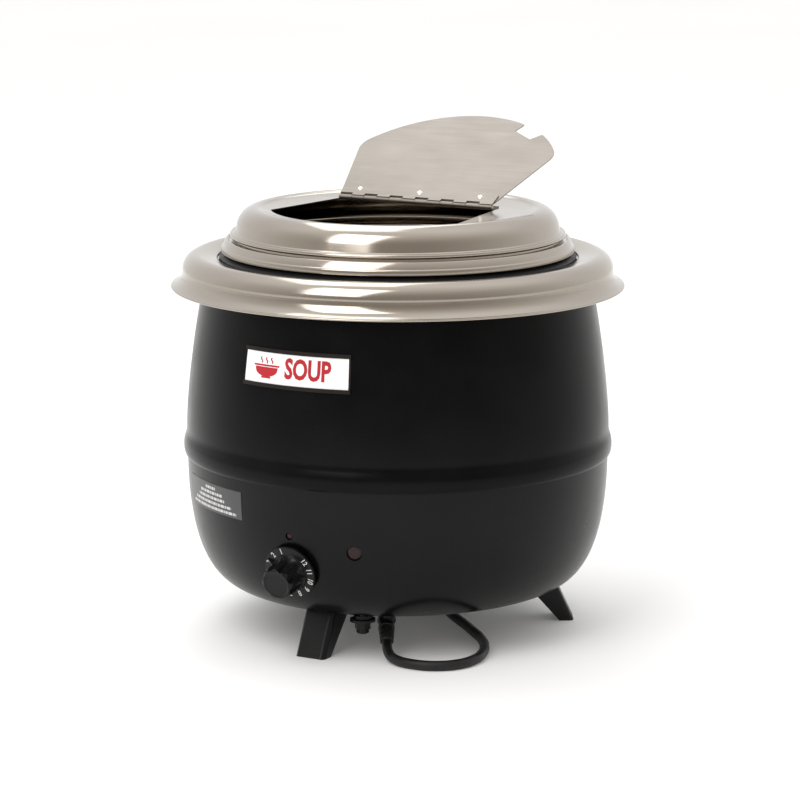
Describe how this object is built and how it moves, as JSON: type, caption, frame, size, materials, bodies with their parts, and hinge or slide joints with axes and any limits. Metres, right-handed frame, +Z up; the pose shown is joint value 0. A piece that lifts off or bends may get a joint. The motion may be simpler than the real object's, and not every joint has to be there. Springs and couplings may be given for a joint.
{
  "type": "soup kettle",
  "caption": "Round electric soup kettle on feet: black two-piece casing, steel rim ring, lift-out pot in a water well, and a steel lid with a hinged ladle flap.",
  "frame": {"origin": "on the counter under the kettle's vertical axis", "axes": "+Z up; -Y out of the front where the dial and the name card are; +X to the right seen from the front"},
  "size_m": [0.363, 0.3712, 0.3966],
  "materials": {
    "black_enamel": "satin black baked enamel with a fine orange-peel texture",
    "polished_steel": "polished stainless sheet",
    "brushed_steel": "fine brushed stainless sheet",
    "well_black": "matt black heat-resistant coating",
    "zinc_steel": "zinc-plated steel",
    "element_sheath": "dull heat-tinted sheath",
    "heat_aluminium": "plain rolled aluminium",
    "gasket_rubber": "black heat-resistant rubber",
    "black_plastic": "black moulded phenolic",
    "white_plastic": "off-white moulded nylon",
    "red_lens": "translucent dull red",
    "cord_rubber": "black flexible rubber sheath",
    "pin_brass": "nickel-plated brass",
    "wire_sleeve": "red-brown silicone sleeving",
    "card": "white laminated card",
    "sticker": "dark grey printed film"
  },
  "bodies": {
    "kettle": {"upper_casing": "black_enamel", "lower_casing": "black_enamel", "top_ring": "polished_steel", "water_well": "well_black", "well_gasket": "gasket_rubber", "well_lugs": "zinc_steel", "tie_studs": "zinc_steel", "tie_nuts": "black_plastic", "heat_spreader": "heat_aluminium", "heating_element": "element_sheath", "element_clamp": "zinc_steel", "clamp_nut": "zinc_steel", "thermal_cutout": "black_plastic", "thermostat": "white_plastic", "thermostat_bracket": "zinc_steel", "thermostat_screws": "zinc_steel", "pilot_lens": "red_lens", "pilot_body": "white_plastic", "small_lens": "red_lens", "small_lamp_body": "white_plastic", "foot_front": "black_plastic", "foot_rear_right": "black_plastic", "foot_rear_left": "black_plastic", "foot_screws": "zinc_steel", "cord_gland": "black_plastic", "gland_nut": "black_plastic", "cord_boot": "cord_rubber", "cord_lead": "cord_rubber", "cord_coil": "cord_rubber", "cord_tail": "cord_rubber", "plug_body": "cord_rubber", "plug_pins": "pin_brass", "terminal_block": "white_plastic", "wiring": "wire_sleeve", "card_holder": "black_plastic", "name_card": "card", "rating_label": "sticker"},
    "dial_knob": {"dial": "black_plastic", "dial_spindle": "zinc_steel"},
    "pot": {"soup_pot": "brushed_steel"},
    "lid_plate": {"lid": "polished_steel", "hinge_leaf_fixed": "brushed_steel", "hinge_pin": "zinc_steel", "lid_rivets": "polished_steel"},
    "lid_flap": {"flap": "brushed_steel", "hinge_leaf_moving": "brushed_steel", "flap_rivets": "polished_steel"}
  },
  "joints": [
    {"name": "dial_turn", "type": "hinge", "parent": "kettle", "child": "dial_knob", "pos_m": [-0.00283, -0.16201, 0.0751], "axis": [0.0168, 0.9603, 0.2786], "range_deg": [0, 306]},
    {"name": "pot_lift", "type": "slide", "parent": "kettle", "child": "pot", "axis": [0, 0, 1], "range_m": [0, 0.3]},
    {"name": "lid_lift", "type": "slide", "parent": "pot", "child": "lid_plate", "axis": [0, 0, 1], "range_m": [0, 0.15]},
    {"name": "flap_hinge", "type": "hinge", "parent": "lid_plate", "child": "lid_flap", "pos_m": [0, 0.0287, 0.3389], "axis": [1, 0, 0], "range_deg": [0, 154.8]}
  ]
}
